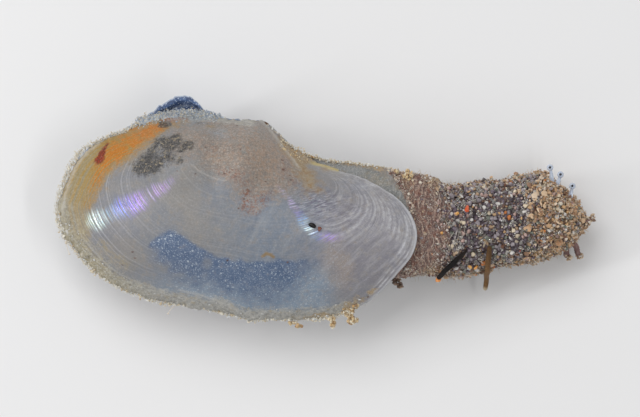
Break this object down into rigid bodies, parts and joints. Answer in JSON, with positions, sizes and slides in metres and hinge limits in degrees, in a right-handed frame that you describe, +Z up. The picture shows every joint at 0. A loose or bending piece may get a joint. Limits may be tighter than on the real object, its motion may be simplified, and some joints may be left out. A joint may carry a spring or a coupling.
{
  "type": "lantern clam shell",
  "caption": "Closed, thin-shelled, elongate clam lying on one valve, its siphon in a sand-crusted sheath reaching out of the gaping rear end.",
  "frame": {"origin": "under the middle of the whole specimen's box, on the surface that it lies on", "axes": "+X towards the siphon (posterior), +Y towards the hinge (dorsal), +Z up, away from the surface, out of the left valve"},
  "size_m": [0.0294, 0.0128, 0.008],
  "materials": {
    "valve_left": "satin",
    "valve_right": "satin",
    "ligament": "satin",
    "soft_body": "satin",
    "sand": "matte",
    "black_bark": "matte",
    "brown_bark": "matte",
    "black_grain": "satin",
    "red_chip": "satin",
    "crust": "matte"
  },
  "bodies": {
    "root": {"left_valve": "valve_left", "right_valve": "valve_right", "ligament": "ligament", "soft_body": "soft_body", "sand_coat": "sand", "twig_dark": "black_bark", "twig_brown": "brown_bark", "grain_black": "black_grain", "chip_red": "red_chip", "debris_hinge": "crust", "debris_ventral": "crust"}
  },
  "joints": []
}
